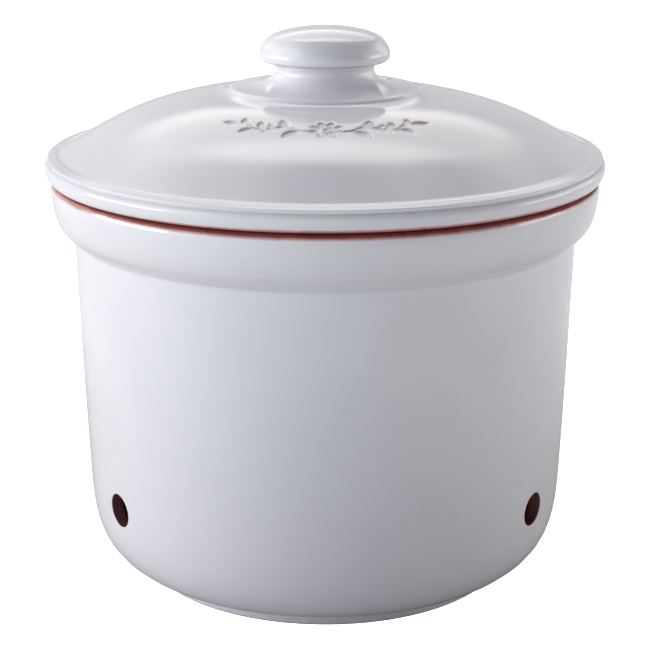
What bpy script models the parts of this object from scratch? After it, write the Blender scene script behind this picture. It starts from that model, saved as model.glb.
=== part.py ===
"""Ventilated storage pot with a lid, in glazed terracotta.

Two fired pieces, both turned about Z: the pot stands on its foot ring at Z = 0, and the lid rests on the
pot's rim with a locating ring inside the mouth. Metres, +Z up, front towards -Y.
"""

import math

import bpy

MM = 0.001
TURN_STEPS = 64

# Pot, outside
FOOT_RADIUS = 84.6 * MM
FOOT_WIDTH = 9.0 * MM
FOOT_HEIGHT = 5.0 * MM
FOOT_RECESS = 3.0 * MM
FOOT_BEVEL = 0.8 * MM
HEEL_TOP = 42.0 * MM
HEEL_RADIUS = 109.2 * MM
HEEL_CURVE = ((107.7, 28.6), (103.3, 16.75), (96.8, 9.9), (90.6, 6.8))
WALL_MID_HEIGHT = 88.0 * MM
WALL_MID_RADIUS = 111.0 * MM
WALL_TOP = 158.0 * MM
WALL_TOP_RADIUS = 113.0 * MM
COLLAR_CURVE = ((122.4, 176.0), (121.0, 168.0), (117.6, 161.8), (115.0, 159.3))
RIM_TOP = 184.0 * MM
RIM_RADIUS = 122.8 * MM
RIM_WIDEST_HEIGHT = 179.5 * MM
RIM_EDGE_RADIUS = 120.4 * MM
RIM_EDGE_CURVE = ((121.7, 183.5), (122.35, 182.2))
RIM_ROUND = 1.7 * MM

# Pot, inside
WALL = 6.5 * MM
FLOOR = 7.0 * MM
FLOOR_TOP = FLOOR + FOOT_RECESS
INNER_HEEL = 20.0 * MM
MOUTH_RADIUS = 115.6 * MM
LEDGE_CURVE = ((108.0, 156.5), (112.2, 161.5), (114.6, 165.5), (115.6, 171.0))

# Vent holes through the lower wall
VENT_DIAMETER = 15.0 * MM
VENT_HEIGHT = 44.1 * MM
VENT_AZIMUTHS = (-56.7, 56.7, 180.0)
VENT_SIDES = 32
VENT_DRILL_LENGTH = 60.0 * MM

# Lid rim
SEAT_GAP = 0.3 * MM
LID_BASE = RIM_TOP + SEAT_GAP
LID_SEAT_RADIUS = 121.1 * MM
LID_RADIUS = 125.0 * MM
LID_WIDEST_HEIGHT = 189.3 * MM
LID_EDGE_CURVE = ((124.7, 187.3), (124.2, 186.0), (123.0, 184.7))
GROOVE_RADIUS = 123.3 * MM
GROOVE_HEIGHT = 192.0 * MM
BAND_CURVE = ((124.1, 191.6), (124.7, 190.9))

# Dome, and the disc that carries the knob
DOME_TOP = 219.6 * MM
DOME_RADIUS = 48.0 * MM
DOME_CURVE = ((53.0, 219.0), (66.6, 216.7), (80.4, 213.0), (94.1, 207.7), (107.9, 200.6), (118.5, 195.0))
FLANGE_CURVE = ((119.9, 194.6), (121.6, 194.1), (123.3, 193.6))
DISC_RADIUS = 42.6 * MM
DISC_TOP = 222.5 * MM
DISC_EDGE_HEIGHT = 221.2 * MM
DISC_BEVEL = 0.6 * MM
DISC_FILLET_CURVE = ((43.5, 220.7), (45.3, 220.1))

# Knob
KNOB_TOP = 249.1 * MM
KNOB_RADIUS = 29.1 * MM
KNOB_WIDEST_HEIGHT = 236.6 * MM
KNOB_CURVE = ((8.0, 248.8), (14.0, 247.9), (20.0, 246.6), (25.3, 244.1), (28.4, 240.2))
KNOB_LIP_RADIUS = 28.4 * MM
KNOB_LIP_HEIGHT = 234.5 * MM
KNOB_UNDERSIDE = 233.7 * MM
KNOB_UNDERSIDE_RADIUS = 24.8 * MM
NECK_RADIUS = 21.8 * MM
NECK_HEIGHT = 230.3 * MM
NECK_CURVE = ((23.7, 227.0), (27.3, 224.7), (32.5, 223.4))

# Lid, inside
RING_RADIUS = 112.4 * MM
RING_WIDTH = 6.0 * MM
RING_BOTTOM = 174.0 * MM
RING_BEVEL = 1.6 * MM
UNDERSIDE_CURVE = ((106.4, 188.0), (101.0, 196.8), (88.0, 203.7), (60.0, 211.5), (26.0, 213.8))
BORE_RADIUS = 14.0 * MM
BORE_TOP = 240.0 * MM
BORE_MOUTH = 214.1 * MM
BORE_ROUND = 5.0 * MM


def clear_scene():
    for item in list(bpy.data.objects):
        bpy.data.objects.remove(item, do_unlink=True)


def new_collection(name):
    collection = bpy.data.collections.new(name)
    bpy.context.scene.collection.children.link(collection)
    return collection


def ceramic(name, colour, roughness):
    material = bpy.data.materials.new(name)
    material.use_nodes = True
    shader = material.node_tree.nodes["Principled BSDF"]
    shader.inputs["Base Color"].default_value = (*colour, 1.0)
    shader.inputs["Roughness"].default_value = roughness
    shader.inputs["Metallic"].default_value = 0.0
    return material


def arc(centre, radius, start, end, steps):
    """Points of a circular arc in the (radius, height) plane; angles in degrees from +radius."""
    points = []
    for i in range(steps + 1):
        angle = math.radians(start + (end - start) * i / steps)
        points.append((centre[0] + radius * math.cos(angle), centre[1] + radius * math.sin(angle)))
    return points


def spline(knots, steps):
    """A Catmull-Rom curve through the knots, with this many steps between each two."""
    ends = [knots[0], *knots, knots[-1]]
    points = []
    for i in range(len(knots) - 1):
        a, b, c, d = ends[i : i + 4]
        for j in range(steps):
            t = j / steps
            points.append(tuple(
                0.5 * (2 * b[k] + (c[k] - a[k]) * t
                       + (2 * a[k] - 5 * b[k] + 4 * c[k] - d[k]) * t * t
                       + (3 * b[k] - a[k] - 3 * c[k] + d[k]) * t ** 3)
                for k in (0, 1)))
    return [*points, knots[-1]]


def turned(name, profile, material, collection):
    """Turns a profile about Z: it starts and ends on the axis, and its outer side runs from top to bottom."""
    mesh = bpy.data.meshes.new(name)
    vertices = [(radius, 0.0, height) for radius, height in profile]
    edges = [(i, i + 1) for i in range(len(profile) - 1)]
    mesh.from_pydata(vertices, edges, [])
    piece = bpy.data.objects.new(name, mesh)
    collection.objects.link(piece)
    mesh.materials.append(material)
    screw = piece.modifiers.new("Turn", "SCREW")
    screw.steps = TURN_STEPS
    screw.render_steps = TURN_STEPS
    screw.use_merge_vertices = True
    screw.merge_threshold = 0.00001
    screw.use_smooth_shade = True
    return piece


def curve(knots, start=None, end=None, steps=2):
    """A spline through knots in millimetres, between a start and an end in metres where these are given."""
    inner = [(radius * MM, height * MM) for radius, height in knots]
    first = [start] if start else []
    last = [end] if end else []
    return spline([*first, *inner, *last], steps)


def pot_profile():
    inner_heel_centre = (HEEL_RADIUS - WALL - INNER_HEEL, FLOOR_TOP + INNER_HEEL)
    inside = [
        (0.0, FLOOR_TOP),
        *arc(inner_heel_centre, INNER_HEEL, -90, 0, 6),
        (WALL_MID_RADIUS - WALL, WALL_MID_HEIGHT),
        (WALL_TOP_RADIUS - WALL, WALL_TOP - WALL),
        *curve(LEDGE_CURVE),
    ]
    rim = [
        *arc((MOUTH_RADIUS + RIM_ROUND, RIM_TOP - RIM_ROUND), RIM_ROUND, 180, 90, 3),
        *curve(RIM_EDGE_CURVE, start=(RIM_EDGE_RADIUS, RIM_TOP), end=(RIM_RADIUS, RIM_WIDEST_HEIGHT)),
    ]
    collar = curve(COLLAR_CURVE, end=(WALL_TOP_RADIUS, WALL_TOP))
    outside = [
        (WALL_MID_RADIUS, WALL_MID_HEIGHT),
        *curve(HEEL_CURVE, start=(HEEL_RADIUS, HEEL_TOP), steps=3),
    ]
    foot_inner_radius = FOOT_RADIUS - FOOT_WIDTH
    foot = [
        (FOOT_RADIUS, FOOT_HEIGHT),
        (FOOT_RADIUS, FOOT_BEVEL),
        (FOOT_RADIUS - FOOT_BEVEL, 0.0),
        (foot_inner_radius, 0.0),
        (foot_inner_radius - FOOT_RECESS, FOOT_RECESS),
        (0.0, FOOT_RECESS),
    ]
    return [*inside, *rim, *collar, *outside, *foot]


def lid_profile():
    knob = [
        (0.0, KNOB_TOP),
        *curve(KNOB_CURVE, end=(KNOB_RADIUS, KNOB_WIDEST_HEIGHT)),
        (KNOB_LIP_RADIUS, KNOB_LIP_HEIGHT),
        (KNOB_UNDERSIDE_RADIUS, KNOB_UNDERSIDE),
        *curve(NECK_CURVE, start=(NECK_RADIUS, NECK_HEIGHT)),
    ]
    disc = [
        (DISC_RADIUS - DISC_BEVEL, DISC_TOP),
        (DISC_RADIUS, DISC_TOP - DISC_BEVEL),
        *curve(DISC_FILLET_CURVE, start=(DISC_RADIUS, DISC_EDGE_HEIGHT)),
    ]
    dome = curve(DOME_CURVE, start=(DOME_RADIUS, DOME_TOP))
    flange = [
        *curve(FLANGE_CURVE, end=(GROOVE_RADIUS, GROOVE_HEIGHT)),
        *curve(BAND_CURVE, end=(LID_RADIUS, LID_WIDEST_HEIGHT)),
        *curve(LID_EDGE_CURVE, end=(LID_SEAT_RADIUS, LID_BASE)),
    ]
    ring = [
        (RING_RADIUS + RING_BEVEL, LID_BASE),
        (RING_RADIUS, LID_BASE - RING_BEVEL),
        *arc((RING_RADIUS - RING_WIDTH / 2, RING_BOTTOM + RING_WIDTH / 2), RING_WIDTH / 2, 0, -180, 6),
    ]
    underside = [
        *curve(UNDERSIDE_CURVE),
        *arc((BORE_RADIUS + BORE_ROUND, BORE_MOUTH + BORE_ROUND), BORE_ROUND, 270, 180, 3),
        *arc((BORE_RADIUS - BORE_ROUND, BORE_TOP - BORE_ROUND), BORE_ROUND, 0, 90, 3),
        (0.0, BORE_TOP),
    ]
    return [*knob, *disc, *dome, *flange, *ring, *underside]


def cut_vents(pot, collection):
    """Drills the vent holes straight towards the axis."""
    for number, azimuth in enumerate(VENT_AZIMUTHS, 1):
        turn = math.radians(azimuth)
        bpy.ops.mesh.primitive_cylinder_add(
            vertices=VENT_SIDES,
            radius=VENT_DIAMETER / 2,
            depth=VENT_DRILL_LENGTH,
            location=(HEEL_RADIUS * math.sin(turn), -HEEL_RADIUS * math.cos(turn), VENT_HEIGHT),
            rotation=(math.pi / 2, 0.0, turn),
        )
        cutter = bpy.context.object
        cutter.name = f"vent_cutter_{number}"
        for home in list(cutter.users_collection):
            home.objects.unlink(cutter)
        collection.objects.link(cutter)
        cutter.hide_render = True
        cutter.display_type = "WIRE"
        drill = pot.modifiers.new(f"Vent {number}", "BOOLEAN")
        drill.operation = "DIFFERENCE"
        drill.solver = "EXACT"
        drill.object = cutter


def main():
    clear_scene()
    parts = new_collection("ventilated_storage_pot")
    cutters = new_collection("cutters")
    white_glaze = ceramic("white_glaze", (0.86, 0.87, 0.89), 0.12)
    white_glaze_lid = ceramic("white_glaze_lid", (0.86, 0.87, 0.89), 0.12)
    pot = turned("pot", pot_profile(), white_glaze, parts)
    cut_vents(pot, cutters)
    turned("lid", lid_profile(), white_glaze_lid, parts)


main()
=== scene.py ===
"""Looks of the ventilated storage pot: white glaze over red terracotta, on a pale studio floor.

The pot and the lid are turned meshes, finer than the CAD solids and inside their box. Each vertex
carries how much glaze covers the clay there and how far it lies from the sprig's outline, and the
material turns that into colour, gloss and grain. Below 0 the glaze value stands for painted shade in
the vent tunnels, and on the left of the rim and of the lid's lower edge it is raised as painted
light.
"""

import math

import bpy
import numpy as np
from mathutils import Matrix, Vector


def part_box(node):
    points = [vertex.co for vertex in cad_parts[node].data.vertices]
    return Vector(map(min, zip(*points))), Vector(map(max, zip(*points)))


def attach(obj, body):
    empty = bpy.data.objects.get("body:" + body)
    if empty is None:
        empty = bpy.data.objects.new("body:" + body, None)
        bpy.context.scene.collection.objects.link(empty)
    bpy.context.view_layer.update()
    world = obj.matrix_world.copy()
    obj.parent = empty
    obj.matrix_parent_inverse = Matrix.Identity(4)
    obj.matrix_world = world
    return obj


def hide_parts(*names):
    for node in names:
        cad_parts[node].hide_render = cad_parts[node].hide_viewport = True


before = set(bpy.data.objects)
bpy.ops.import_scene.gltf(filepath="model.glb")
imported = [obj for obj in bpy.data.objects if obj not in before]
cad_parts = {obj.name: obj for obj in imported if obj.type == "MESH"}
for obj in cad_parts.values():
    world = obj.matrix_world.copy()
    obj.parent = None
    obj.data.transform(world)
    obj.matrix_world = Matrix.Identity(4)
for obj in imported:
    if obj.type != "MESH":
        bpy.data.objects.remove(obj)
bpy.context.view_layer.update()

MM = 0.001
TINY = 1e-6

# Sizes read from the frame, in millimetres
_, pot_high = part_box("pot")
lid_low, lid_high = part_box("lid")
RIM_RADIUS = pot_high.x / MM
RIM_TOP = pot_high.z / MM
LID_RADIUS = lid_high.x / MM
KNOB_TOP = lid_high.z / MM
RING_BOTTOM = lid_low.z / MM

# Shared with the CAD solids, in millimetres
LID_BASE = RIM_TOP + 0.3
FOOT_RADIUS = 84.6
FLOOR_TOP = 10.0
FOOT_RECESS = 3.0
MOUTH_RADIUS = 115.6
RING_RADIUS = 112.4
RING_WIDTH = 6.0
KNOB_RADIUS = 29.1
NECK_RADIUS = 21.8
DISC_RADIUS = 42.6
DISC_TOP = 222.5
DOME_TOP = 219.6
GROOVE_RADIUS = 123.3
GROOVE_HEIGHT = 192.0
KNOB_BORE = 14.0
KNOB_BORE_TOP = 240.0

# Vent holes: their place, the round of their lips, and the square patch of wall each one is set in
VENT_RADIUS = 7.5
VENT_HEIGHT = 44.1
VENT_AZIMUTHS = (-56.7, 56.7, 180.0)
VENT_OUTER_LIP = 0.55
VENT_INNER_LIP = 0.8
VENT_PATCH = 12.0
VENT_ROW_STEP = 1.5
VENT_HALF_COLUMNS = 7

# The rings of a vent hole: shares of the way over the wall, degrees round the lip, and steps along
# the tunnel. The glaze is 1 until the lip turns in, and falls below 0 in the tunnel, where the
# material paints shade: darker, greyer clay.
WALL_SHARES = (0.22, 0.44, 0.64, 0.82, 0.94, 1.0)
LIP_TURNS = (15, 30, 45, 60, 75, 90)
LIP_GLAZE_FALLS = 30
LIP_GLAZE_SHADE_DROP = 1.4
TUNNEL_STEPS = 6
TUNNEL_SHADE_LEVEL = -0.6

# Which of the pot's rows can be spaced evenly: clear of the inside floor, the heel and the axis
WALL_OVER_FLOOR = 8
WALL_OVER_FOOT = 12
WALL_FROM_AXIS = 90
ROW_CLEARANCE = 0.6

# Outlines: how closely they are sampled, and how far their corners are rounded
PATH_STEP = 0.1
SOFTENING = 0.45
SOFTENING_REACH = 4

# Mesh density: rows by millimetres, turn in degrees and growth, and columns by number or degrees
FINEST_ROW = 0.5
WIDEST_ROW = 5.0
ROW_TURN = 13.0
ROW_GROWTH = 0.9
POT_COLUMNS = 384
LID_COLUMN_FINE = 0.4
LID_COLUMN_WIDE = 1.5
LID_COLUMN_MARGIN = 2
LID_COLUMN_EASE = 12

# The lid's fine zones: the row step in each, and the radii and heights they lie between or beyond
SPRIG_ROW = 0.42
KNOB_EDGE_ROW = 0.28
KNOB_EDGE_ZONE = ((26.5, 29), (233.5, 235.5))
FLANGE_ROW = 0.4
FLANGE_ZONE = (116, LID_BASE + 0.5)

# The edge of the glaze below the pot's rim: depth and width in front, and what is added on the left
# as painted light
WIPE_START = 1.25
WIPE_WIDTH = 1.1
WIPE_LEFT_EXTRA = 1.7
WIPE_LEFT_PAINTED_LIGHT = 0.45
WIPE_REACH = 1.5
WIPE_DEPTH = 6.0

# The lid's lower edge, made paler on the left as painted light: how far in, from and to what height
LID_LEFT_PAINTED_LIGHT = 0.8
LID_EDGE_REACH = 2.5
LID_EDGE_BAND = (0.5, 3.0)

# Unevenness of a hand-turned piece: size, waves round, shift per millimetre of height, start
SWELLS = ((0.07, 2, 0.0, 0.6), (0.04, 3, 0.02, 0.0), (0.025, 7, -0.05, 0.0))
SWELL_FULL_RADIUS = 100.0

# How much higher the dome lies on its left than on its right, halved, and where from and to
DOME_LEAN = 0.45
DOME_LEAN_BAND = (30.0, 52.0, 85.0, 112.0)

# The embossed sprig on the front of the dome
SPRIG_RADIUS = 70.2
SPRIG_HALF_ANGLE = 41.0
SPRIG_BAND = (59.0, 81.5)
SPRIG_SCALE = 0.8
SPRIG_HEIGHT = 0.9
SPRIG_EDGE = 0.42
SPRIG_SKIRT = 0.18
SPRIG_SKIRT_WIDTH = 0.5
SPRIG_FAR = 5.0
VEIN_DEPTH = 0.42
VEIN_WIDTH = 0.4
VEIN_START = 0.6
VEIN_END = 0.8

# The sprig's parts before scaling: lengths and widths in millimetres, turns in degrees
STEM_SPAN = (9.5, 47.0)
STEM_POINTS = 48
STEM_WIDTH = 1.5
STEM_WAVE = 2.4
STEM_WAVE_START = 4.0
STEM_WAVE_LENGTH = 24.0
LEAF_PAIRS = 6
LEAF_FIRST = 13.0
LEAF_STEP = 6.0
LEAF_SHRINK = 0.045
LEAF = {"turn": 52, "length": 12.2, "width": 6.2, "bend": 1.1}
LEAFLET = {"turn": 38, "length": 7.0, "width": 3.4, "bend": 0.5}
LEAFLET_SHIFT = 2.2
END_LEAF = {"turn": 8, "length": 11.5, "width": 5.4}
PETALS = 8
PETAL_START = 22.5
PETAL_ROOT = 1.8
PETAL_SIZE = (8.2, 4.7)
FLOWER_HEART = 2.3


# ---------------------------------------------------------------- profiles

def spline(knots):
    """A smooth curve through rows of (radius, height, glaze), sampled about every PATH_STEP."""
    knots = np.array(knots, float)
    chord = np.r_[0.0, np.cumsum(np.linalg.norm(np.diff(knots[:, :2], axis=0), axis=1))]
    count = len(knots)
    gaps = np.diff(chord)
    matrix = np.eye(count)
    right = np.zeros((count, 2))
    for i in range(1, count - 1):
        matrix[i, i - 1 : i + 2] = gaps[i - 1], 2 * (gaps[i - 1] + gaps[i]), gaps[i]
        ahead = (knots[i + 1, :2] - knots[i, :2]) / gaps[i]
        behind = (knots[i, :2] - knots[i - 1, :2]) / gaps[i - 1]
        right[i] = 6 * (ahead - behind)
    bend = np.linalg.solve(matrix, right)
    along = np.linspace(0.0, chord[-1], max(2, int(chord[-1] / PATH_STEP) + 1))
    left = np.clip(np.searchsorted(chord, along, side="right") - 1, 0, count - 2)
    gap = gaps[left][:, None]
    a = ((chord[left + 1] - along) / gaps[left])[:, None]
    b = 1 - a
    place = a * knots[left, :2] + b * knots[left + 1, :2]
    place += ((a ** 3 - a) * bend[left] + (b ** 3 - b) * bend[left + 1]) * gap ** 2 / 6
    cover = np.interp(along, chord, knots[:, 2])
    return np.c_[place, cover]


def line(*knots):
    """Straight runs through rows of (radius, height, glaze)."""
    return np.vstack([spline(knots[i : i + 2]) for i in range(len(knots) - 1)])


def arc(centre, radius, start, end):
    """A circular arc of bare clay about centre, angles in degrees from +radius."""
    steps = max(4, int(abs(math.radians(end - start)) * radius / PATH_STEP))
    angles = np.radians(np.linspace(start, end, steps + 1))
    return np.c_[centre[0] + radius * np.cos(angles), centre[1] + radius * np.sin(angles),
                 np.zeros(steps + 1)]


def softened(path):
    """Evenly spaced points along the path, its corners rounded as glaze and a sponge round them."""
    keep = np.r_[True, np.linalg.norm(np.diff(path[:, :2], axis=0), axis=1) > TINY]
    path = path[keep]
    length = np.r_[0.0, np.cumsum(np.linalg.norm(np.diff(path[:, :2], axis=0), axis=1))]
    even = np.linspace(0.0, length[-1], int(length[-1] / PATH_STEP) + 1)
    path = np.array([np.interp(even, length, path[:, k]) for k in range(3)]).T
    reach = int(SOFTENING_REACH * SOFTENING / PATH_STEP)
    kernel = np.exp(-0.5 * (np.arange(-reach, reach + 1) * PATH_STEP / SOFTENING) ** 2)
    kernel /= kernel.sum()
    mirror = np.array([-1.0, 1.0, 1.0])
    padded = np.vstack([path[reach:0:-1] * mirror, path, path[-2 : -reach - 2 : -1] * mirror])
    return np.array([np.convolve(padded[:, k], kernel, mode="valid") for k in range(3)]).T


def rows_along(path, fine_zones):
    """Rows on the path: close together where it bends and in the fine zones of (test, step)."""
    step = np.gradient(path[:, :2], axis=0)
    heading = np.unwrap(np.arctan2(step[:, 1], step[:, 0]))
    turning = np.abs(np.gradient(heading)) / PATH_STEP
    widest_turn = math.radians(ROW_TURN)
    spacing = np.clip(widest_turn / np.maximum(turning, TINY), FINEST_ROW, WIDEST_ROW)
    for test, fine in fine_zones:
        spacing = np.where(test(path), np.minimum(spacing, fine), spacing)
    for _ in range(2):
        grow = ROW_GROWTH * PATH_STEP
        for i in range(1, len(spacing)):
            spacing[i] = min(spacing[i], spacing[i - 1] + grow)
        spacing = spacing[::-1]
    count = np.r_[0.0, np.cumsum(PATH_STEP / spacing)]
    total = int(round(count[-1]))
    wanted = np.linspace(0.0, count[-1], total + 1)
    where = np.interp(wanted, count, np.arange(len(path) + 1))
    index = np.arange(len(path))
    rows = np.array([np.interp(where, index, path[:, k]) for k in range(3)]).T
    rows[0, 0] = rows[-1, 0] = 0.0
    return rows


def pot_path():
    """The pot's outline, from the inside floor over the rim to the recess under the foot."""
    heel = 20.0
    rim_round = 1.7
    inside = np.vstack([
        line((0, FLOOR_TOP, 0), (82.7, FLOOR_TOP, 0)),
        arc((82.7, FLOOR_TOP + heel), heel, -90, 0),
        spline([(102.7, 30.5, 0), (103.5, 52, 0), (104.5, 85, 0), (105.6, 120, 0),
                (106.5, 150.5, 0)]),
        spline([(106.6, 151.5, 0), (108.0, 156.5, 0), (112.2, 161.5, 0), (114.6, 165.5, 0),
                (MOUTH_RADIUS, 171, 0)]),
        line((MOUTH_RADIUS, 171.2, 0), (MOUTH_RADIUS, RIM_TOP - rim_round, 0)),
    ])
    rim = np.vstack([
        arc((MOUTH_RADIUS + rim_round, RIM_TOP - rim_round), rim_round, 180, 90),
        spline([(MOUTH_RADIUS + 1.9, RIM_TOP, 0), (118.8, RIM_TOP + 0.02, 0),
                (120.4, RIM_TOP - 0.05, 0), (121.6, RIM_TOP - 0.5, 0),
                (122.15, RIM_TOP - 1.25, 0)]),
    ])
    collar = spline([
        (122.2, RIM_TOP - 1.4, 0),
        (122.35, RIM_TOP - 1.9, 0.5),
        (122.6, RIM_TOP - 3.0, 1),
        (RIM_RADIUS, 179.4, 1),
        (RIM_RADIUS - 0.3, 176, 1),
        (RIM_RADIUS - 1.1, 170.5, 1),
        (RIM_RADIUS - 3.2, 164.4, 1),
        (RIM_RADIUS - 7.0, 160.2, 1),
        (113.0, 158.1, 1),
    ])
    outside = spline([
        (113.0, 157.6, 1),
        (112.15, 127, 1),
        (111.05, 88, 1),
        (110.0, 60, 1),
        (109.2, 42, 1),
        (107.7, 28.6, 1),
        (103.3, 16.75, 1),
        (96.8, 9.9, 1),
        (90.6, 6.8, 1),
        (FOOT_RADIUS + 1.4, 5.4, 1),
    ])
    foot = np.vstack([
        line((FOOT_RADIUS + 0.2, 4.7, 1), (FOOT_RADIUS, 4.2, 1), (FOOT_RADIUS, 1.2, 1),
             (FOOT_RADIUS - 0.2, 0.5, 0.4)),
        line((FOOT_RADIUS - 0.3, 0.3, 0), (FOOT_RADIUS - 0.8, 0.0, 0), (75.0, 0.0, 0)),
        line((75.0, 0.0, 0), (72.5, FOOT_RECESS, 0), (0, FOOT_RECESS, 0)),
    ])
    return np.vstack([inside, rim, collar, outside, foot])


def lid_path():
    """The lid's outline, from the knob's top down to the rim, and under the dome to its hollow."""
    knob = spline([
        (0, KNOB_TOP, 1),
        (8, KNOB_TOP - 0.3, 1),
        (14, KNOB_TOP - 1.15, 1),
        (20, KNOB_TOP - 2.5, 1),
        (25.3, KNOB_TOP - 5.0, 1),
        (28.35, KNOB_TOP - 9.0, 1),
        (KNOB_RADIUS, 236.6, 1),
        (28.7, 235.2, 1),
    ])
    neck = np.vstack([
        line((28.6, 234.9, 1), (28.35, 234.5, 0.4), (28.0, 234.25, 0.45), (27.4, 234.05, 1),
             (25.0, 233.7, 1)),
        spline([
            (24.6, 233.6, 1),
            (22.6, 232.4, 1),
            (NECK_RADIUS, 230.3, 1),
            (22.3, 228.7, 1),
            (23.7, 227.0, 1),
            (27.3, 224.6, 1),
            (31.5, 223.55, 1),
            (36.5, DISC_TOP + 0.42, 1),
            (41.3, DISC_TOP + 0.05, 1),
        ]),
    ])
    disc = np.vstack([
        line((41.7, DISC_TOP, 1), (DISC_RADIUS - 0.1, DISC_TOP - 0.5, 1),
             (DISC_RADIUS, DISC_TOP - 1.2, 1)),
        spline([(DISC_RADIUS + 0.2, DISC_TOP - 1.25, 1), (DISC_RADIUS + 1.0, DISC_TOP - 1.65, 1),
                (DISC_RADIUS + 2.7, DISC_TOP - 2.25, 1), (47.4, DOME_TOP + 0.06, 1)]),
    ])
    dome = spline([
        (48.0, DOME_TOP, 1),
        (53.0, DOME_TOP - 0.55, 1),
        (66.6, DOME_TOP - 2.9, 1),
        (80.4, DOME_TOP - 6.6, 1),
        (94.1, DOME_TOP - 11.9, 1),
        (107.9, DOME_TOP - 19.0, 1),
        (118.2, DOME_TOP - 24.4, 1),
    ])
    flange = np.vstack([
        line((118.7, DOME_TOP - 24.6, 1), (120.5, DOME_TOP - 24.75, 1),
             (120.9, DOME_TOP - 25.1, 1), (122.3, DOME_TOP - 25.2, 1),
             (122.6, DOME_TOP - 25.5, 1), (123.9, DOME_TOP - 25.7, 1)),
        line((GROOVE_RADIUS + 0.5, GROOVE_HEIGHT + 1.1, 1), (GROOVE_RADIUS, GROOVE_HEIGHT + 0.3, 1),
             (GROOVE_RADIUS - 1.0, GROOVE_HEIGHT, 1),
             (GROOVE_RADIUS + 0.5, GROOVE_HEIGHT - 0.2, 1)),
        spline([(124.0, GROOVE_HEIGHT - 0.3, 1), (124.6, GROOVE_HEIGHT - 0.9, 1),
                (LID_RADIUS - 0.05, 190.1, 1), (LID_RADIUS, 189.2, 1), (LID_RADIUS - 0.1, 188.2, 1),
                (LID_RADIUS - 0.35, 187.2, 1), (LID_RADIUS - 0.55, LID_BASE + 2.3, 1)]),
        line((LID_RADIUS - 0.6, LID_BASE + 2.1, 1), (LID_RADIUS - 0.9, LID_BASE + 1.5, 0.6),
             (LID_RADIUS - 1.3, LID_BASE + 1.0, 0.35), (LID_RADIUS - 2.1, LID_BASE + 0.4, 0.15),
             (LID_RADIUS - 2.7, LID_BASE + 0.12, 0)),
        line((121.9, LID_BASE + 0.05, 0), (121.1, LID_BASE, 0), (RING_RADIUS + 1.6, LID_BASE, 0)),
    ])
    ring_middle = RING_RADIUS - RING_WIDTH / 2
    ring = np.vstack([
        line((RING_RADIUS + 1.4, LID_BASE, 0), (RING_RADIUS, LID_BASE - 2, 0),
             (RING_RADIUS, RING_BOTTOM + RING_WIDTH / 2, 0)),
        arc((ring_middle, RING_BOTTOM + RING_WIDTH / 2), RING_WIDTH / 2, 0, -180),
    ])
    under = np.vstack([
        spline([(106.4, 178, 0), (106.3, 186, 0), (104.5, 192.5, 0), (101, 196.8, 0),
                (88, 203.7, 0), (72, 208.6, 0), (52, 212.6, 0), (30, 213.8, 0),
                (KNOB_BORE + 6, 214, 0)]),
        arc((KNOB_BORE + 5, 219.1), 5, 270, 180),
        line((KNOB_BORE, 219.3, 0), (KNOB_BORE, KNOB_BORE_TOP - 5, 0)),
        arc((KNOB_BORE - 5, KNOB_BORE_TOP - 5), 5, 0, 90),
        line((KNOB_BORE - 5.2, KNOB_BORE_TOP, 0), (0, KNOB_BORE_TOP, 0)),
    ])
    return np.vstack([knob, neck, disc, dome, flange, ring, under])


# ---------------------------------------------------------------- turned meshes

def turned_points(rows, azimuths):
    """Points of a turned surface, row by row. Azimuth 0 is the front, towards -Y."""
    radius, height = rows[:, 0][:, None], rows[:, 1][:, None]
    around = azimuths[None, :]
    x = radius * np.sin(around)
    y = -radius * np.cos(around)
    z = np.broadcast_to(height, x.shape)
    return np.stack([x, y, z], axis=-1)


def joined(grid):
    """The grid's points in one list, with one point where an end row lies on the axis."""
    return np.vstack([grid[0, :1], grid[1:-1].reshape(-1, 3), grid[-1, :1]])


def per_point(row_values, columns):
    """One value for each of the joined points, from one value for each row."""
    return np.r_[row_values[0], np.repeat(row_values[1:-1], columns), row_values[-1]]


def turned_faces(row_count, column_count, skipped):
    """Quads between rows and fans at the two ends, without the skipped (row, column) cells.

    Also returns the function that gives a vertex's index from its row and column.
    """
    faces = []
    first = 0
    last = 1 + (row_count - 2) * column_count

    def ring(row, column):
        return 1 + (row - 1) * column_count + column % column_count

    for column in range(column_count):
        faces.append((first, ring(1, column), ring(1, column + 1)))
        faces.append((last, ring(row_count - 2, column + 1), ring(row_count - 2, column)))
    for row in range(1, row_count - 2):
        for column in range(column_count):
            if (row, column) not in skipped:
                faces.append((ring(row, column), ring(row + 1, column),
                              ring(row + 1, column + 1), ring(row, column + 1)))
    return faces, ring


def piece(name, points, faces, values, material):
    """A smooth-shaded mesh object from points in millimetres, with its values as attributes."""
    mesh = bpy.data.meshes.new(name)
    mesh.from_pydata((points * MM).tolist(), [], faces)
    mesh.polygons.foreach_set("use_smooth", [True] * len(mesh.polygons))
    for key, numbers in values.items():
        layer = mesh.attributes.new(key, "FLOAT", "POINT")
        layer.data.foreach_set("value", np.asarray(numbers, np.float32))
    mesh.materials.append(material)
    mesh.validate()
    mesh.update()
    thing = bpy.data.objects.new(name, mesh)
    bpy.context.scene.collection.objects.link(thing)
    return thing


def out_of_round(points):
    """The slight unevenness of a piece turned by hand: a little oval, with slow waves."""
    around = np.arctan2(points[:, 0], -points[:, 1])
    height = points[:, 2]
    swell = sum(size * np.sin(waves * around + climb * height + start)
                for size, waves, climb, start in SWELLS)
    radius = np.hypot(points[:, 0], points[:, 1])
    share = swell * np.clip(radius / SWELL_FULL_RADIUS, 0, 1) / np.maximum(radius, TINY)
    moved = points.copy()
    moved[:, 0] += points[:, 0] * share
    moved[:, 1] += points[:, 1] * share
    return moved


# ---------------------------------------------------------------- pot

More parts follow.
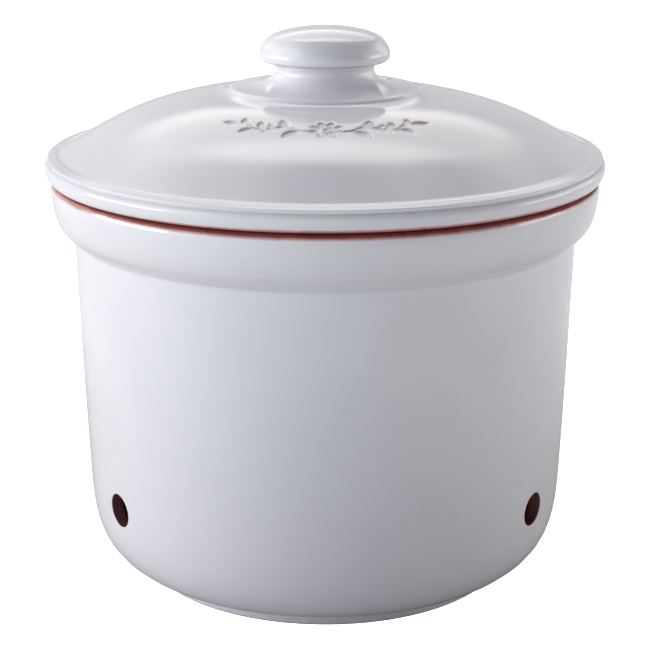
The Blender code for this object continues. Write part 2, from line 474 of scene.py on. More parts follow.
def uniform_rows(rows, start, end, low, high, step):
    """The rows from start to end, at an even step where they lie between two heights."""
    stretch = rows[start : end + 1]
    rising = stretch[-1, 1] > stretch[0, 1]
    ordered = stretch if rising else stretch[::-1]
    heights = np.arange(low, high + step / 2, step)
    even = np.c_[np.interp(heights, ordered[:, 1], ordered[:, 0]), heights,
                 np.interp(heights, ordered[:, 1], ordered[:, 2])]
    clear = step * ROW_CLEARANCE
    below = ordered[ordered[:, 1] < low - clear]
    above = ordered[ordered[:, 1] > high + clear]
    spaced = np.vstack([below, even, above])
    return spaced if rising else spaced[::-1]


def vented_rows(rows):
    """The pot's rows, even beside the vent holes, and the first even row inside and outside."""
    low, high = VENT_HEIGHT - VENT_PATCH, VENT_HEIGHT + VENT_PATCH
    turn_over = int(np.argmax(rows[:, 1]))
    inside, outside = rows[: turn_over + 1], rows[turn_over + 1 :]
    floor_end = int(np.argmax(inside[:, 1] > FLOOR_TOP + WALL_OVER_FLOOR))
    foot_start = int(np.argmax(outside[:, 1] < WALL_OVER_FOOT))
    inside = np.vstack([inside[:floor_end],
                        uniform_rows(inside, floor_end, len(inside) - 1, low, high, VENT_ROW_STEP)])
    outside = np.vstack([uniform_rows(outside, 0, foot_start - 1, low, high, VENT_ROW_STEP),
                         outside[foot_start:]])
    from_low = np.where(inside[:, 0] < WALL_FROM_AXIS, math.inf, np.abs(inside[:, 1] - low))
    inner_first = int(np.argmin(from_low))
    outer_first = len(inside) + int(np.argmin(np.abs(outside[:, 1] - high)))
    return np.vstack([inside, outside]), inner_first, outer_first


def patch_loop(first_row, row_steps, first_column, column_steps):
    """The (row, column) corners round a patch of cells, once round."""
    rows = [first_row + i for i in range(row_steps)]
    columns = [first_column + i for i in range(column_steps)]
    last_row, last_column = first_row + row_steps, first_column + column_steps
    return ([(first_row, column) for column in columns]
            + [(row, last_column) for row in rows]
            + [(last_row, column + 1) for column in reversed(columns)]
            + [(row + 1, first_column) for row in reversed(rows)])


class Vent:
    """One vent hole: rings of points from its patch's edge over the wall and round its lip."""

    def __init__(self, azimuth):
        turn = math.radians(azimuth)
        self.side = np.array([math.cos(turn), math.sin(turn)])
        self.out = np.array([math.sin(turn), -math.cos(turn)])

    def flat(self, point):
        """(sideways, up) of a point, looking along the hole."""
        return np.array([point[:2] @ self.side, point[2] - VENT_HEIGHT])

    def place(self, sideways, up, outwards):
        """The point that lies so far sideways, up and outwards from the hole's middle."""
        across = sideways * self.side + outwards * self.out
        return np.array([across[0], across[1], VENT_HEIGHT + up])

    def wall_ring(self, loop, radius_at, share, lip):
        """A ring on the wall, between the patch's edge (share 0) and the lip's start (share 1)."""
        ring = []
        for corner in loop:
            edge = self.flat(corner)
            circle = edge / np.linalg.norm(edge) * (VENT_RADIUS + lip)
            sideways, up = edge * (1 - share) + circle * share
            wall = radius_at(VENT_HEIGHT + up)
            ring.append(self.place(sideways, up, math.sqrt(wall ** 2 - sideways ** 2)))
        return ring

    def lip_ring(self, loop, radius_at, turn, lip, sign):
        """A ring on the rounded lip, from the wall (turn 0) into the tunnel (turn 90 degrees)."""
        reach = VENT_RADIUS + lip * (1 - math.sin(turn))
        depth = lip * (1 - math.cos(turn))
        ring = []
        for corner in loop:
            edge = self.flat(corner)
            sideways, up = edge / np.linalg.norm(edge) * reach
            wall = radius_at(VENT_HEIGHT + up)
            outwards = math.sqrt(wall ** 2 - sideways ** 2) - sign * depth
            ring.append(self.place(sideways, up, outwards))
        return ring


def leftness(points):
    """From 0 at the front and the back to 1 on the left, the lit side, where painted light makes the
    seam paler.
    """
    radius = np.hypot(points[:, 0], points[:, 1])
    return np.clip(-points[:, 0] / np.maximum(radius, 1.0), 0, 1) ** 2


def paled_lit_left(points, cover):
    """The lid's cover, made paler over the left of its lower edge as painted light from the lamp
    there.
    """
    radius = np.hypot(points[:, 0], points[:, 1])
    low, high = LID_EDGE_BAND
    by_edge = ((radius > LID_RADIUS - LID_EDGE_REACH)
               & (points[:, 2] > LID_BASE + low) & (points[:, 2] < LID_BASE + high))
    return np.where(by_edge, np.minimum(1.0, cover + LID_LEFT_PAINTED_LIGHT * leftness(points)), cover)


def wiped_and_lit_rim(points, cover):
    """The glaze below the rim, wiped to a crisp edge in front, and on the left a wider, paler edge
    of painted light.
    """
    radius = np.hypot(points[:, 0], points[:, 1])
    left = leftness(points)
    depth = RIM_TOP - points[:, 2]
    share = np.clip((depth - WIPE_START) / (WIPE_WIDTH + WIPE_LEFT_EXTRA * left), 0, 1)
    share = share * share * (3 - 2 * share)
    # Painted light: on the lit left a pale veil lies over the clay, however deep.
    share += (1 - share) * WIPE_LEFT_PAINTED_LIGHT * left * np.clip(depth / WIPE_START, 0, 1)
    by_rim = (radius > RIM_RADIUS - WIPE_REACH) & (depth < WIPE_DEPTH)
    return np.where(by_rim, share, cover)


class Growing:
    """A turned surface's faces, and the points and glaze that rings of vertices add to it."""

    def __init__(self, count, faces):
        self.count = count
        self.faces = faces
        self.points = []
        self.cover = []

    def add_ring(self, previous, ring, cover):
        """Joins a ring of points to the loop of vertices before it, and returns the new loop."""
        loop = list(range(self.count, self.count + len(ring)))
        self.points += ring
        self.cover += [cover] * len(ring)
        self.count += len(ring)
        self.faces += ring_faces(previous, loop)
        return loop


def add_mouth(surface, azimuth, corners, loop, radius_at, is_outer):
    """One end of a vent hole, from its patch's corners to the tunnel: its last loop and points."""
    vent = Vent(azimuth)
    lip = VENT_OUTER_LIP if is_outer else VENT_INNER_LIP
    sign = 1 if is_outer else -1
    full = 1.0 if is_outer else 0.0
    for share in WALL_SHARES:
        ring = vent.wall_ring(corners, radius_at, share, lip)
        loop = surface.add_ring(loop, ring, full)
    for turn in LIP_TURNS:
        ring = vent.lip_ring(corners, radius_at, math.radians(turn), lip, sign)
        # Past LIP_GLAZE_FALLS the glaze thins over the lip, and below 0, where the lip turns into
        # the tunnel, it is painted shade.
        worn_then_shaded = LIP_GLAZE_SHADE_DROP * max(turn - LIP_GLAZE_FALLS, 0) / (90 - LIP_GLAZE_FALLS)
        loop = surface.add_ring(loop, ring, full - worn_then_shaded if is_outer else full)
    return loop, ring


def add_tunnel(surface, outer_mouth, inner_mouth):
    """The tunnel of a vent hole, from the outer mouth's last ring to the inner mouth's."""
    loop, outer_ring = outer_mouth
    inner_loop, inner_ring = inner_mouth
    shift = matching_shift(outer_ring, inner_ring)
    inner_loop = [inner_loop[(shift - i) % len(inner_loop)] for i in range(len(inner_loop))]
    inner_ring = [inner_ring[(shift - i) % len(inner_ring)] for i in range(len(inner_ring))]
    for step in range(1, TUNNEL_STEPS):
        share = step / TUNNEL_STEPS
        ring = [a * (1 - share) + b * share for a, b in zip(outer_ring, inner_ring)]
        # Below 0 the glaze value is painted shade: the material darkens and greys the tunnel's clay.
        loop = surface.add_ring(loop, ring, TUNNEL_SHADE_LEVEL * (1 - share))
    surface.faces += ring_faces(loop, inner_loop)


def build_pot(material):
    """The pot, with its three vent holes cut through the wall and the edge of its glaze."""
    rows = rows_along(softened(pot_path()), [])
    rows, inner_first, outer_first = vented_rows(rows)
    azimuths = np.arange(POT_COLUMNS) * 2 * math.pi / POT_COLUMNS
    points = joined(turned_points(rows, azimuths))
    cover = per_point(rows[:, 2], POT_COLUMNS)
    row_steps = int(round(2 * VENT_PATCH / VENT_ROW_STEP))
    column_width = 360 / POT_COLUMNS

    turn_over = int(np.argmax(rows[:, 1]))
    outer_wall = rows[turn_over:][::-1]
    inner_wall = rows[:turn_over]

    def outer_radius(height):
        return float(np.interp(height, outer_wall[:, 1], outer_wall[:, 0]))

    def inner_radius(height):
        return float(np.interp(height, inner_wall[:, 1], inner_wall[:, 0]))

    patches = []
    skipped = set()
    for azimuth in VENT_AZIMUTHS:
        middle = int(round((azimuth % 360) / column_width))
        left, right = middle - VENT_HALF_COLUMNS, middle + VENT_HALF_COLUMNS
        for first, is_outer in ((inner_first, False), (outer_first, True)):
            patches.append((azimuth, first, left, is_outer))
            skipped |= {(row, column % POT_COLUMNS)
                        for row in range(first, first + row_steps)
                        for column in range(left, right)}
    faces, ring_index = turned_faces(len(rows), POT_COLUMNS, skipped)

    surface = Growing(len(points), faces)
    mouths = {}
    for azimuth, first, left, is_outer in patches:
        cells = patch_loop(first, row_steps, left, 2 * VENT_HALF_COLUMNS)
        loop = [ring_index(row, column) for row, column in cells]
        corners = [points[i] for i in loop]
        radius_at = outer_radius if is_outer else inner_radius
        mouths[azimuth, is_outer] = add_mouth(surface, azimuth, corners, loop, radius_at, is_outer)
    for azimuth in VENT_AZIMUTHS:
        add_tunnel(surface, mouths[azimuth, True], mouths[azimuth, False])

    points = np.vstack([points, np.array(surface.points)])
    cover = wiped_and_lit_rim(points, np.r_[cover, surface.cover])
    used = np.zeros(len(points), bool)
    for face in surface.faces:
        used[list(face)] = True
    renumber = np.cumsum(used) - 1
    faces = [tuple(int(renumber[i]) for i in face) for face in surface.faces]
    points = out_of_round(points[used])
    far = np.full(len(points), SPRIG_FAR)
    return piece("glazed_pot", points, faces, {"glaze": cover[used], "relief": far}, material)


def ring_faces(outer, inner):
    """Quads between two loops of vertices with the same count."""
    size = len(outer)
    return [(outer[i], inner[i], inner[(i + 1) % size], outer[(i + 1) % size]) for i in range(size)]


def matching_shift(outer_ring, inner_ring):
    """The point of the inner ring, which runs the other way round, that faces the outer's first."""
    distances = [np.linalg.norm(point - outer_ring[0]) for point in inner_ring]
    return int(np.argmin(distances))


# ---------------------------------------------------------------- lid

def leaf_distance(points, base, direction, length, width, bend=0.0):
    """Signed distance, negative inside, to a pointed leaf; then the distance from its midrib."""
    along = np.array([math.cos(direction), math.sin(direction)])
    across = np.array([-along[1], along[0]])
    offset = points - (np.asarray(base) + along * length / 2)
    u = offset @ along
    half, bulge = length / 2, width / 2
    v = offset @ across - bend * (1 - (u / half) ** 2)
    u, v = np.abs(u), np.abs(v)
    shift = (half ** 2 - bulge ** 2) / (2 * bulge)
    beyond_tip = (u - half) * shift > v * half
    distance = np.where(beyond_tip, np.hypot(u - half, v), np.hypot(u, v + shift) - shift - bulge)
    return distance, v


def stem_distance(points, path, thickness):
    """Signed distance to a stem that follows a path and has round ends."""
    best = np.full(len(points), math.inf)
    for a, b in zip(path[:-1], path[1:]):
        run = b - a
        t = np.clip(((points - a) @ run) / (run @ run), 0, 1)
        best = np.minimum(best, np.linalg.norm(points - a - t[:, None] * run, axis=1))
    return best - thickness / 2


def sprig_stem(along):
    """The wavy stem's place along and across the band's middle line."""
    wave = STEM_WAVE * math.sin(2 * math.pi * (along - STEM_WAVE_START) / STEM_WAVE_LENGTH)
    return np.array([along, wave])


def sprig_field(arc_length, outwards):
    """Signed distance to the sprig's outline, and how strongly a vein cuts it, at each point.

    The right half of the sprig is drawn, and the left half mirrors it.
    """
    points = np.c_[np.abs(arc_length), outwards] / SPRIG_SCALE
    stem = [sprig_stem(along) for along in np.linspace(*STEM_SPAN, STEM_POINTS)]
    no_vein = np.full(len(points), math.inf)
    shapes = [(stem_distance(points, stem, STEM_WIDTH), no_vein)]
    for k in range(LEAF_PAIRS):
        up = 1 if k % 2 == 0 else -1
        size = 1.0 - LEAF_SHRINK * k
        root = LEAF_FIRST + LEAF_STEP * k
        shapes.append(leaf_distance(points, sprig_stem(root), math.radians(up * LEAF["turn"]),
                                    LEAF["length"] * size, LEAF["width"] * size,
                                    bend=-up * LEAF["bend"]))
        shapes.append(leaf_distance(points, sprig_stem(root + LEAFLET_SHIFT),
                                    math.radians(-up * LEAFLET["turn"]),
                                    LEAFLET["length"] * size, LEAFLET["width"] * size,
                                    bend=up * LEAFLET["bend"]))
    shapes.append(leaf_distance(points, stem[-1], math.radians(END_LEAF["turn"]),
                                END_LEAF["length"], END_LEAF["width"]))
    for k in range(PETALS):
        turn = math.radians(360 / PETALS * k + PETAL_START)
        root = (PETAL_ROOT * math.cos(turn), PETAL_ROOT * math.sin(turn))
        shapes.append(leaf_distance(points, root, turn, *PETAL_SIZE))
    shapes.append((np.linalg.norm(points, axis=1) - FLOWER_HEART, no_vein))
    distances = np.array([shape[0] for shape in shapes])
    nearest = distances.argmin(axis=0)
    distance, runner_up = np.partition(distances, 1, axis=0)[:2]
    from_vein = np.array([shape[1] for shape in shapes])[nearest, np.arange(len(points))]
    vein = np.exp(-(from_vein / VEIN_WIDTH) ** 2)
    vein *= np.clip((runner_up - distance) / VEIN_END, 0, 1)
    return distance * SPRIG_SCALE, vein


def lid_azimuths():
    """Column azimuths: close together across the sprig in front, wider round the rest."""
    fine, wide = math.radians(LID_COLUMN_FINE), math.radians(LID_COLUMN_WIDE)
    edge = math.radians(SPRIG_HALF_ANGLE + LID_COLUMN_MARGIN)
    ease = math.radians(LID_COLUMN_EASE)
    angle = 0.0
    half = [0.0]
    while angle < math.pi:
        share = min(max((angle - edge) / ease, 0.0), 1.0)
        angle += fine + (wide - fine) * share
        half.append(angle)
    half = np.array(half) * (math.pi / half[-1])
    return np.r_[half[:-1], -half[:0:-1]]


def in_sprig_band(path):
    """Whether each row lies on the glazed top of the dome, in the sprig's band."""
    inner, outer = SPRIG_BAND
    return (path[:, 0] > inner) & (path[:, 0] < outer) & (path[:, 2] > 0.5)


def by_knob_edge(path):
    """Whether each row lies by the knob's lower edge, where the red shows through."""
    (inner, outer), (low, high) = KNOB_EDGE_ZONE
    return ((path[:, 0] > inner) & (path[:, 0] < outer)
            & (path[:, 1] > low) & (path[:, 1] < high))


def on_flange(path):
    """Whether each row lies on the outside of the lid's flange."""
    inner, low = FLANGE_ZONE
    return (path[:, 0] > inner) & (path[:, 1] > low)


def build_lid(material):
    """The lid and its knob, with the sprig raised on the front of the dome."""
    zones = [(in_sprig_band, SPRIG_ROW), (by_knob_edge, KNOB_EDGE_ROW), (on_flange, FLANGE_ROW)]
    rows = rows_along(softened(lid_path()), zones)
    azimuths = lid_azimuths()
    columns = len(azimuths)
    grid = turned_points(rows, azimuths)
    step = np.gradient(rows[:, :2], axis=0)
    step /= np.linalg.norm(step, axis=1)[:, None]
    outward = np.c_[-step[:, 1], step[:, 0]]

    relief = np.full(grid.shape[:2], SPRIG_FAR)
    lift = np.zeros(grid.shape[:2])
    band = np.flatnonzero(in_sprig_band(rows))
    length = np.r_[0.0, np.cumsum(np.linalg.norm(np.diff(rows[:, :2], axis=0), axis=1))]
    zero = np.interp(SPRIG_RADIUS, rows[band, 0], length[band])
    from_front = (azimuths + math.pi) % (2 * math.pi) - math.pi
    arc_length = np.broadcast_to(from_front * SPRIG_RADIUS, (len(band), columns))
    outwards = np.broadcast_to((length[band] - zero)[:, None], (len(band), columns))
    distance, vein = sprig_field(arc_length.ravel(), outwards.ravel())
    distance = distance.reshape(len(band), columns)
    vein = vein.reshape(len(band), columns)
    inside = np.maximum(-distance, 0)
    height = SPRIG_HEIGHT * (1 - np.exp(-inside / SPRIG_EDGE))
    groove = VEIN_DEPTH * vein * np.clip(inside / VEIN_START, 0, 1)
    skirt = SPRIG_SKIRT * np.exp(-(np.maximum(distance, 0) / SPRIG_SKIRT_WIDTH) ** 2)
    lift[band] = np.where(distance < 0, height - groove + SPRIG_SKIRT, skirt)
    relief[band] = np.clip(distance, -SPRIG_FAR, SPRIG_FAR)

    sine, cosine = np.sin(azimuths)[None, :], np.cos(azimuths)[None, :]
    sideways = lift * -outward[:, 0][:, None]
    upwards = lift * -outward[:, 1][:, None]
    outside = np.arange(len(rows)) < np.argmax(rows[:, 0])
    lean = np.interp(rows[:, 0], DOME_LEAN_BAND, (0.0, DOME_LEAN, DOME_LEAN, 0.0)) * outside
    upwards = upwards - lean[:, None] * sine
    grid = grid + np.stack([sideways * sine, -sideways * cosine, upwards], axis=-1)

    points = joined(grid)
    cover = paled_lit_left(points, per_point(rows[:, 2], columns))
    marks = np.r_[SPRIG_FAR, relief[1:-1].ravel(), SPRIG_FAR]
    faces, _ = turned_faces(len(rows), columns, set())
    points = out_of_round(points)
    return piece("glazed_lid", points, faces, {"glaze": cover, "relief": marks}, material)


# ---------------------------------------------------------------- material

# Colours. The stops of a ramp each come after their place on the scale it is looked up by.
CLAY_RAMP = ((0.3, (0.17, 0.024, 0.02)), (0.5, (0.22, 0.035, 0.029)), (0.72, (0.29, 0.064, 0.052)))
GLAZE_RAMP = ((0.35, (0.782, 0.79, 0.815)), (0.65, (0.808, 0.817, 0.838)))
VEIL_RAMP = ((0.15, (0.42, 0.115, 0.10)), (0.4, (0.54, 0.24, 0.22)), (0.65, (0.68, 0.48, 0.47)),
             (0.85, (0.78, 0.72, 0.735)))
PALE_GRAIN = (0.60, 0.33, 0.26)
DARK_GRAIN = (0.10, 0.02, 0.015)
IRON_SPECK = (0.22, 0.15, 0.12)
# Painted shade in the vent tunnels: darker, greyer clay, mottled between these two.
TUNNEL_SHADE_DARK = (0.10, 0.055, 0.065)
TUNNEL_SHADE_PALE = (0.20, 0.12, 0.13)

# Roughness from the smoothest to the roughest spot, and the glaze's strength of reflection
GLAZE_ROUGHNESS = (0.03, 0.055)
CLAY_ROUGHNESS = (0.78, 0.92)
GLAZE_IOR = 1.6

# Heights of the bump, in metres
SAND_HEIGHT = 0.00006
TURNING_HEIGHT = 0.00014
WAVE_HEIGHT = 0.00007
RIPPLE_HEIGHT = 0.000005
GLAZE_THICKNESS = 0.00012


class Nodes:
    """A short way to add and link shader nodes."""

    def __init__(self, owner):
        self.tree = owner.node_tree
        self.shader = self.tree.nodes.get("Principled BSDF")

    def feed(self, socket, value):
        """Links an output to the socket, or sets the socket to a value."""
        if isinstance(value, bpy.types.NodeSocket):
            self.tree.links.new(value, socket)
        else:
            socket.default_value = value

    def add(self, kind, inputs=None, **settings):
        """A node with its settings and its inputs, which are given by name or number."""
        node = self.tree.nodes.new(kind)
        for key, value in settings.items():
            setattr(node, key, value)
        for key, value in (inputs or {}).items():
            self.feed(node.inputs[key], value)
        return node

    def math(self, operation, *values):
        """The result of a calculation on numbers and outputs."""
        node = self.add("ShaderNodeMath", operation=operation)
        for socket, value in zip(node.inputs, values):
            self.feed(socket, value)
        return node.outputs[0]

    def noise(self, scale, detail, roughness, where=None):
        """Smooth noise from 0 to 1, over the object's own coordinates unless told otherwise."""
        inputs = {"Scale": scale, "Detail": detail, "Roughness": roughness,
                  "Vector": where or self.place}
        return self.add("ShaderNodeTexNoise", inputs).outputs["Fac"]

    def ramp(self, factor, stops):
        """A colour looked up on a scale of (position, colour) stops."""
        node = self.add("ShaderNodeValToRGB", {"Fac": factor})
        elements = node.color_ramp.elements
        while len(elements) < len(stops):
            elements.new(0.5)
        for element, (position, colour) in zip(elements, stops):
            element.position = position
            element.color = (*colour, 1.0)
        return node.outputs["Color"]

    def blend(self, factor, a, b, kind="RGBA"):
        """A mix of two colours, or of two numbers where kind is FLOAT."""
        node = self.add("ShaderNodeMix", data_type=kind)
        sockets = [s for s in node.inputs if s.enabled]
        for socket, value in zip(sockets, (factor, a, b)):
            self.feed(socket, (*value, 1.0) if isinstance(value, tuple) else value)
        return next(s for s in node.outputs if s.enabled)

    def range(self, value, low, high, to_low, to_high, smooth=False):
        """A value carried from one range to another and held within it."""
        node = self.add("ShaderNodeMapRange", {
            "Value": value, "From Min": low, "From Max": high, "To Min": to_low, "To Max": to_high})
        node.interpolation_type = "SMOOTHSTEP" if smooth else "LINEAR"
        return node.outputs["Result"]


def glazed_terracotta():
    """White tin glaze over red clay. The glaze attribute is 1 under full glaze, 0 on bare clay, and
    below 0 where shade is painted into the vent tunnels.
    """
    material = bpy.data.materials.new("glazed_terracotta")
    material.use_nodes = True
    n = Nodes(material)
    n.place = n.add("ShaderNodeTexCoord").outputs["Object"]
    glaze = n.add("ShaderNodeAttribute", attribute_name="glaze").outputs["Fac"]
    relief = n.add("ShaderNodeAttribute", attribute_name="relief").outputs["Fac"]

    # Where the glaze ends it breaks into spray-like specks, and on the sprig's edges it thins.
    specks = n.noise(1900.0, 2.0, 0.6)
    drift = n.noise(120.0, 3.0, 0.55)
    broken = n.math("ADD", n.math("MULTIPLY", n.math("SUBTRACT", specks, 0.5), 0.7),
                    n.math("MULTIPLY", n.math("SUBTRACT", drift, 0.5), 0.4))
    halfway = n.math("MULTIPLY", n.math("MULTIPLY", glaze, n.math("SUBTRACT", 1.0, glaze)), 4.0)
    halfway = n.math("MAXIMUM", halfway, 0.0)
    from_edge = n.math("ABSOLUTE", n.math("ADD", relief, 0.2))
    edge_line = n.range(from_edge, 0.0, 0.36, 1.0, 0.0, smooth=True)
    edge_wear = n.math("MULTIPLY", edge_line, n.range(drift, 0.35, 0.62, 0.12, 0.5))
    cover = n.math("ADD", glaze, n.math("MULTIPLY", broken, halfway))
    cover = n.math("SUBTRACT", cover, edge_wear)

    # Clay: fired red, mottled, with pale and dark grains.
    mottle = n.noise(60.0, 4.0, 0.6)
    grain = n.noise(2600.0, 2.0, 0.7)
    pale_grain = n.range(grain, 0.66, 0.74, 0.0, 0.4, smooth=True)
    dark_grain = n.range(grain, 0.26, 0.34, 0.55, 0.0, smooth=True)
    clay = n.blend(pale_grain, n.ramp(mottle, CLAY_RAMP), PALE_GRAIN)
    clay = n.blend(dark_grain, clay, DARK_GRAIN)

    # Glaze: nearly white, in faint clouds, with rare iron specks.
    white = n.ramp(n.noise(22.0, 3.0, 0.5), GLAZE_RAMP)
    spots = n.add("ShaderNodeTexVoronoi", {"Scale": 105.0, "Vector": n.place})
    chance = n.add("ShaderNodeSeparateColor", {"Color": spots.outputs["Color"]}).outputs["Red"]
    spot_size = n.range(chance, 0.93, 1.0, 0.0, 0.045)
    spot = n.math("LESS_THAN", spots.outputs["Distance"], spot_size)
    white = n.blend(n.math("MULTIPLY", spot, 0.55), white, IRON_SPECK)

    # Thin glaze lets the red through: salmon, then pink, then white. Below 0, in the vent tunnels,
    # shade is painted in as darker, greyer clay.
    veil = n.ramp(cover, VEIL_RAMP)
    colour = n.blend(n.range(cover, 0.02, 0.3, 0.0, 1.0, smooth=True), clay, veil)
    colour = n.blend(n.range(cover, 0.75, 0.97, 0.0, 1.0, smooth=True), colour, white)
    tunnel_shade = n.range(glaze, -0.1, -0.4, 0.0, 1.0, smooth=True)
    colour = n.blend(tunnel_shade, colour, n.blend(mottle, TUNNEL_SHADE_DARK, TUNNEL_SHADE_PALE))
    n.feed(n.shader.inputs["Base Color"], colour)

    # Gloss: wherever there is glaze, however thin, and in the tunnels with their painted shade.
    glossy = n.math("MAXIMUM", n.range(cover, 0.08, 0.6, 0.0, 1.0, smooth=True), tunnel_shade)
    gloss = n.range(n.noise(35.0, 2.0, 0.5), 0.3, 0.7, *GLAZE_ROUGHNESS)
    matt = n.range(grain, 0.3, 0.7, *CLAY_ROUGHNESS)
    n.feed(n.shader.inputs["Roughness"], n.blend(glossy, matt, gloss, kind="FLOAT"))
    n.feed(n.shader.inputs["IOR"], GLAZE_IOR)

    # Relief: sandy clay with fine turning lines, and a glaze that lies in very shallow waves.
    apart = n.add("ShaderNodeSeparateXYZ", {"Vector": n.place})
    radius = n.math("SQRT", n.math("ADD", n.math("POWER", apart.outputs["X"], 2.0),
                                   n.math("POWER", apart.outputs["Y"], 2.0)))
    profile = n.add("ShaderNodeCombineXYZ", {"X": radius, "Y": apart.outputs["Z"]})
    turning = n.noise(900.0, 2.0, 0.6, where=profile.outputs["Vector"])
    sandy = n.math("ADD", n.math("MULTIPLY", grain, SAND_HEIGHT),
                   n.math("MULTIPLY", turning, TURNING_HEIGHT))
    waves = n.math("ADD", n.math("MULTIPLY", n.noise(38.0, 1.0, 0.4), WAVE_HEIGHT),
                   n.math("MULTIPLY", n.noise(260.0, 1.0, 0.4), RIPPLE_HEIGHT))
    bare = n.math("SUBTRACT", 1.0, glossy)
    height = n.math("ADD", n.math("MULTIPLY", sandy, bare), waves)
    height = n.math("ADD", height, n.math("MULTIPLY", glossy, GLAZE_THICKNESS))
    bump = n.add("ShaderNodeBump", {"Height": height, "Strength": 1.0, "Distance": 1.0})
    n.feed(n.shader.inputs["Normal"], bump.outputs["Normal"])
    return material


# ---------------------------------------------------------------- studio

# The camera fitted to the photo: metres, degrees, and lens and sensor in millimetres
CAMERA_DISTANCE = 0.8105
CAMERA_HEIGHT = 0.3509
CAMERA_AZIMUTH = -0.55
CAMERA_PITCH = 16.455
CAMERA_NEAREST = 0.02
LENS = 101.24
SENSOR = 36.0


def add_camera():
    """The camera that sees the pot as the photo does."""
    data = bpy.data.cameras.new("camera")
    data.lens = LENS
    data.sensor_width = SENSOR
    data.clip_start = CAMERA_NEAREST
    camera = bpy.data.objects.new("camera", data)
    turn = math.radians(CAMERA_AZIMUTH)
    camera.location = (CAMERA_DISTANCE * math.sin(turn), -CAMERA_DISTANCE * math.cos(turn),
                       CAMERA_HEIGHT)
    camera.rotation_euler = (math.radians(90 - CAMERA_PITCH), 0.0, turn)
    bpy.context.scene.collection.objects.link(camera)
    bpy.context.scene.camera = camera


# The floor. Its own light grows from nothing at the dim radius to FLOOR_GLOW at the lit one, the
# camera sees FLOOR_WHITE more of it, and UNDER_GLOW lights the underside seen from below.
FLOOR_HALF = 6.0
FLOOR_COLOUR = (0.47, 0.47, 0.47, 1.0)
FLOOR_ROUGHNESS = 0.9
FLOOR_GLOW_COLOUR = (0.91, 0.99, 1.0, 1.0)
FLOOR_GLOW = 0.42
FLOOR_DIM_RADIUS = 0.13
FLOOR_LIT_RADIUS = 0.5
FLOOR_WHITE = 1.2
UNDER_GLOW = 0.8
BACKDROP = (1.0, 1.0, 1.0)

# The bright areas of the studio: name, azimuth and elevation, half width and height, softness of
# the edge across and up, all in degrees, and colour. The disc's softness is a share of its size.
PATCHES = (
    ("left_box", (-87, 2.5), (21, 8), (1.5, 1.5), (6.5, 6.4, 6.1)),
    ("left_wide", (-80, 20), (30, 30), (20, 20), (2.0, 1.99, 1.9)),
    ("left_front", (-45, 12), (22, 24), (30, 20), (0.0, 0.0, 0.43)),
    ("front", (-12, 8), (32, 20), (34, 20), (0.8, 0.8, 0.74)),
    ("right_box", (98, 6), (15, 7), (2, 2), (2.5, 2.4, 2.5)),
    ("right_wide", (108, 12), (30, 22), (24, 20), (1.6, 1.5, 1.56)),
    ("back_low", (180, 12), (60, 15), (30, 12), (0.7, 0.69, 0.72)),
    ("back_left", (-130, 40), (18, 22), (20, 16), (1.0, 1.0, 0.96)),
    ("back_right", (135, 40), (18, 22), (20, 16), (0.4, 0.37, 0.37)),
    ("back_top", (180, 54), (26, 8), (16, 11), (1.7, 1.63, 1.56)),
    ("high_left", (-90, 55), (35, 18), (20, 16), (0.36, 0.4, 0.6)),
)
BACK_DISC = ("back_disc", (180, 41), (32, 21), 0.34, (1.48, 1.42, 1.36))


def add_world():
    """The studio round the pot: bright areas by direction, azimuth 0 in front, 90 to the right."""
    world = bpy.data.worlds.new("studio")
    world.use_nodes = True
    n = Nodes(world)
    towards = n.add("ShaderNodeTexCoord").outputs["Generated"]
    direction = n.add("ShaderNodeSeparateXYZ", {"Vector": towards})
    x, y, z = (direction.outputs[axis] for axis in "XYZ")
    azimuth = n.math("ARCTAN2", x, n.math("MULTIPLY", y, -1.0))
    elevation = n.math("ARCSINE", z)

    def away(turn, rise):
        """How far a direction lies from a place, round and up."""
        across = n.math("SUBTRACT", azimuth, math.radians(turn))
        across = n.math("WRAP", across, math.pi, -math.pi)
        up = n.math("SUBTRACT", elevation, math.radians(rise))
        return n.math("ABSOLUTE", across), n.math("ABSOLUTE", up)

    def edge(value, half, soft):
        """1 within the half size and 0 outside it, with a soft edge."""
        return n.range(value, half - soft / 2, half + soft / 2, 1.0, 0.0, smooth=True)

    lights = []
    for name, place, half, soft, colour in PATCHES:
        shares = [edge(value, math.radians(half[i]), math.radians(soft[i]))
                  for i, value in enumerate(away(*place))]
        lights.append((name, n.math("MULTIPLY", *shares), colour))
    name, place, half, soft, colour = BACK_DISC
    squares = [n.math("POWER", n.math("DIVIDE", value, math.radians(half[i])), 2.0)
               for i, value in enumerate(away(*place))]
    lights.append((name, edge(n.math("SQRT", n.math("ADD", *squares)), 1.0, soft), colour))
    total = None
    for name, share, colour in lights:
        share.node.label = name
        scaled = {0: colour, "Scale": share}
        tint = n.add("ShaderNodeVectorMath", scaled, operation="SCALE").outputs["Vector"]
        if total is None:
            total = tint
        else:
            both = {0: total, 1: tint}
            total = n.add("ShaderNodeVectorMath", both, operation="ADD").outputs["Vector"]
    seen = n.add("ShaderNodeLightPath").outputs["Is Camera Ray"]
    n.feed(n.tree.nodes["Background"].inputs["Color"], n.blend(seen, total, BACKDROP))
    bpy.context.scene.world = world


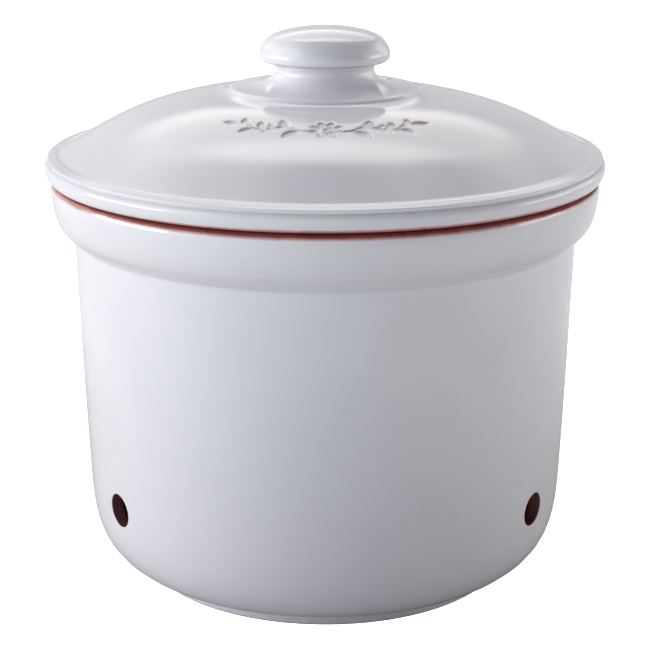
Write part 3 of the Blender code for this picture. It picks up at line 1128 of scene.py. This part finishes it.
def add_floor():
    """A wide floor, white to the camera and clear from below, that lights the pot from under it."""
    half = FLOOR_HALF
    corners = [(-half, -half, 0), (half, -half, 0), (half, half, 0), (-half, half, 0)]
    mesh = bpy.data.meshes.new("studio_floor")
    mesh.from_pydata(corners, [], [(0, 1, 2, 3)])
    floor = bpy.data.objects.new("studio_floor", mesh)
    bpy.context.scene.collection.objects.link(floor)
    material = bpy.data.materials.new("floor_white")
    material.use_nodes = True
    n = Nodes(material)
    n.feed(n.shader.inputs["Base Color"], FLOOR_COLOUR)
    n.feed(n.shader.inputs["Roughness"], FLOOR_ROUGHNESS)
    n.feed(n.shader.inputs["Emission Color"], FLOOR_GLOW_COLOUR)
    seen = n.add("ShaderNodeLightPath").outputs["Is Camera Ray"]
    place = n.add("ShaderNodeTexCoord").outputs["Object"]
    distance = n.add("ShaderNodeVectorMath", {"Vector": place}, operation="LENGTH").outputs["Value"]
    glow = n.range(distance, FLOOR_DIM_RADIUS, FLOOR_LIT_RADIUS, 0.0, FLOOR_GLOW, smooth=True)
    under = n.math("MULTIPLY", n.math("LESS_THAN", distance, FOOT_RADIUS * MM), UNDER_GLOW)
    glow = n.math("ADD", glow, under)
    glow = n.math("MULTIPLY_ADD", seen, FLOOR_WHITE, glow)
    n.feed(n.shader.inputs["Emission Strength"], glow)
    from_below = n.add("ShaderNodeNewGeometry").outputs["Backfacing"]
    clear = n.add("ShaderNodeBsdfTransparent").outputs["BSDF"]
    surface = n.add("ShaderNodeMixShader", {0: from_below, 1: n.shader.outputs["BSDF"], 2: clear})
    n.feed(n.tree.nodes["Material Output"].inputs["Surface"], surface.outputs["Shader"])
    mesh.materials.append(material)


def main():
    """The two glazed pieces on their bodies, and the studio round them."""
    material = glazed_terracotta()
    pot = build_pot(material)
    lid = build_lid(material)
    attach(pot, "pot")
    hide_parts("pot")
    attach(lid, "lid")
    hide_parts("lid")
    add_camera()
    add_world()
    add_floor()
    bpy.context.scene.view_settings.view_transform = "Standard"


main()
